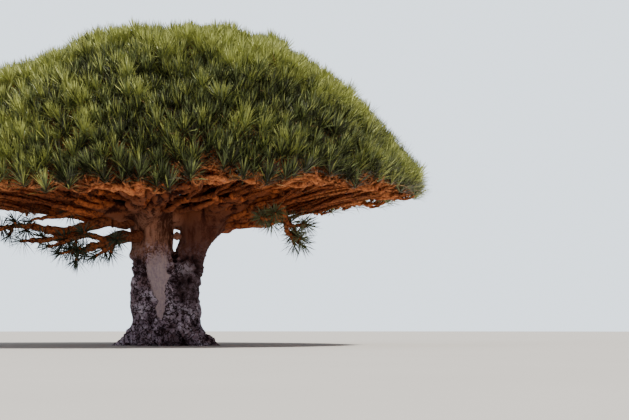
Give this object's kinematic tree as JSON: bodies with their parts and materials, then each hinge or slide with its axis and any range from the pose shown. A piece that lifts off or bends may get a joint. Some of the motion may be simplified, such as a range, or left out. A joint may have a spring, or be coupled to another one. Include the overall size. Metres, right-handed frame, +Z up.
{
  "type": "dragon blood tree",
  "caption": "Broad umbrella-crowned tree: a stout trunk of two fused stems on a flared foot, spreading boughs, and a dense dome of spiky foliage.",
  "frame": {"origin": "on the flat cut under the trunk, at ground level, below the middle of the fused stems", "axes": "+X to the right and +Y away, as the picture shows the tree, +Z up"},
  "size_m": [9.7891, 9.0123, 5.8223],
  "materials": {
    "trunk_bark": "rough grey-brown bark",
    "bough_bark": "rough orange-brown bark",
    "foliage": "matt, stiff sword-shaped leaves"
  },
  "bodies": {
    "root": {"bough_01": "bough_bark", "bough_01_rise": "bough_bark", "bough_01_side": "bough_bark", "bough_02": "bough_bark", "bough_02_rise": "bough_bark", "bough_02_side": "bough_bark", "bough_03": "bough_bark", "bough_03_rise": "bough_bark", "bough_03_side": "bough_bark", "bough_04": "bough_bark", "bough_04_rise": "bough_bark", "bough_04_side": "bough_bark", "bough_05": "bough_bark", "bough_05_rise": "bough_bark", "bough_05_side": "bough_bark", "bough_06": "bough_bark", "bough_06_rise": "bough_bark", "bough_06_side": "bough_bark", "bough_07": "bough_bark", "bough_07_rise": "bough_bark", "bough_07_side": "bough_bark", "bough_top_1": "bough_bark", "bough_top_2": "bough_bark", "bough_top_3": "bough_bark", "foliage_mid_01": "foliage", "foliage_mid_02": "foliage", "foliage_mid_03": "foliage", "foliage_mid_04": "foliage", "foliage_mid_05": "foliage", "foliage_mid_06": "foliage", "foliage_mid_07": "foliage", "foliage_outer_01": "foliage", "foliage_outer_02": "foliage", "foliage_outer_03": "foliage", "foliage_outer_04": "foliage", "foliage_outer_05": "foliage", "foliage_outer_06": "foliage", "foliage_outer_07": "foliage", "foliage_outer_08": "foliage", "foliage_outer_09": "foliage", "foliage_outer_10": "foliage", "foliage_outer_11": "foliage", "foliage_outer_12": "foliage", "foliage_outer_13": "foliage", "foliage_outer_14": "foliage", "foliage_top_01": "foliage", "foliage_top_02": "foliage", "foliage_top_03": "foliage", "low_bough_left_far": "bough_bark", "low_bough_left_near": "bough_bark", "low_bough_right": "bough_bark", "low_foliage_left_far": "foliage", "low_foliage_left_near": "foliage", "low_foliage_right": "foliage", "trunk": "trunk_bark"}
  },
  "joints": []
}
